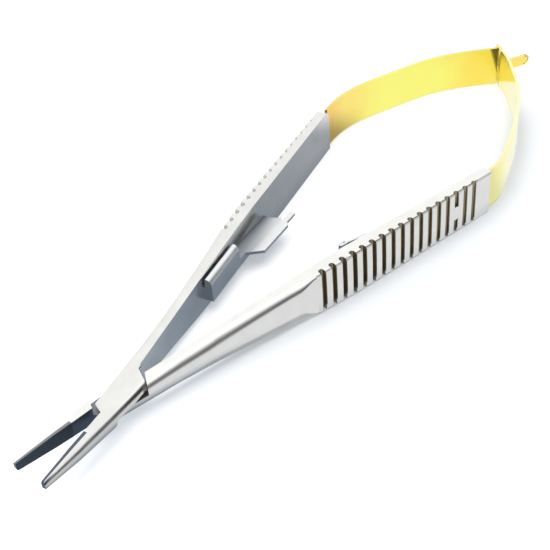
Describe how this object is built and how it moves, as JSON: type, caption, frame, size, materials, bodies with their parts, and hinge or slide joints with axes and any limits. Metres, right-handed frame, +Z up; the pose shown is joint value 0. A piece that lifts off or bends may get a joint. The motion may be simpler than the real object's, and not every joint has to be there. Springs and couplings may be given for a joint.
{
  "type": "surgical needle holder",
  "caption": "Squeeze-action locking needle holder: crossed steel arms with narrow jaws and dark inserts, ribbed grips, a lock plate and catch, and gold leaf springs meeting behind",
  "frame": {"origin": "centre of the bounding box's base, on the surface the instrument lies on", "axes": "+X from the jaws to where the springs meet, +Y to the upper arm's handle, +Z up"},
  "size_m": [0.1426, 0.0394, 0.009],
  "materials": {
    "arm_steel": "fine satin",
    "insert_carbide": "dark cross-hatched carbide",
    "spring_gold": "gold-toned coating on polished spring steel",
    "lock_steel": "smooth polished"
  },
  "bodies": {
    "upper_handle": {"upper_arm": "arm_steel", "upper_jaw_insert": "insert_carbide", "pivot_screw": "arm_steel", "upper_leaf_spring": "spring_gold", "upper_spring_rivet": "arm_steel", "lock_plate": "lock_steel", "lock_front_rivet": "arm_steel", "lock_rear_rivet": "arm_steel"},
    "lower_handle": {"lower_arm": "arm_steel", "lower_jaw_insert": "insert_carbide", "lower_leaf_spring": "spring_gold", "lower_spring_rivet": "arm_steel", "catch_leaf": "lock_steel", "catch_front_rivet": "lock_steel", "catch_rear_rivet": "lock_steel"},
    "catch": {"catch_claw": "lock_steel"}
  },
  "joints": [
    {"name": "jaw_pivot", "type": "hinge", "parent": "upper_handle", "child": "lower_handle", "pos_m": [-0.05163, 0, 0.0045], "axis": [0, 0, 1], "range_deg": [0, 16], "stiffness_Nm_per_rad": 1, "deforming": ["upper_leaf_spring", "lower_leaf_spring"]},
    {"name": "catch_flex", "type": "hinge", "parent": "lower_handle", "child": "catch", "pos_m": [0.0073, -0.01326, 0.0056], "axis": [0, 0, 1], "range_deg": [0, 6], "stiffness_Nm_per_rad": 0.4, "deforming": ["catch_leaf"]}
  ]
}
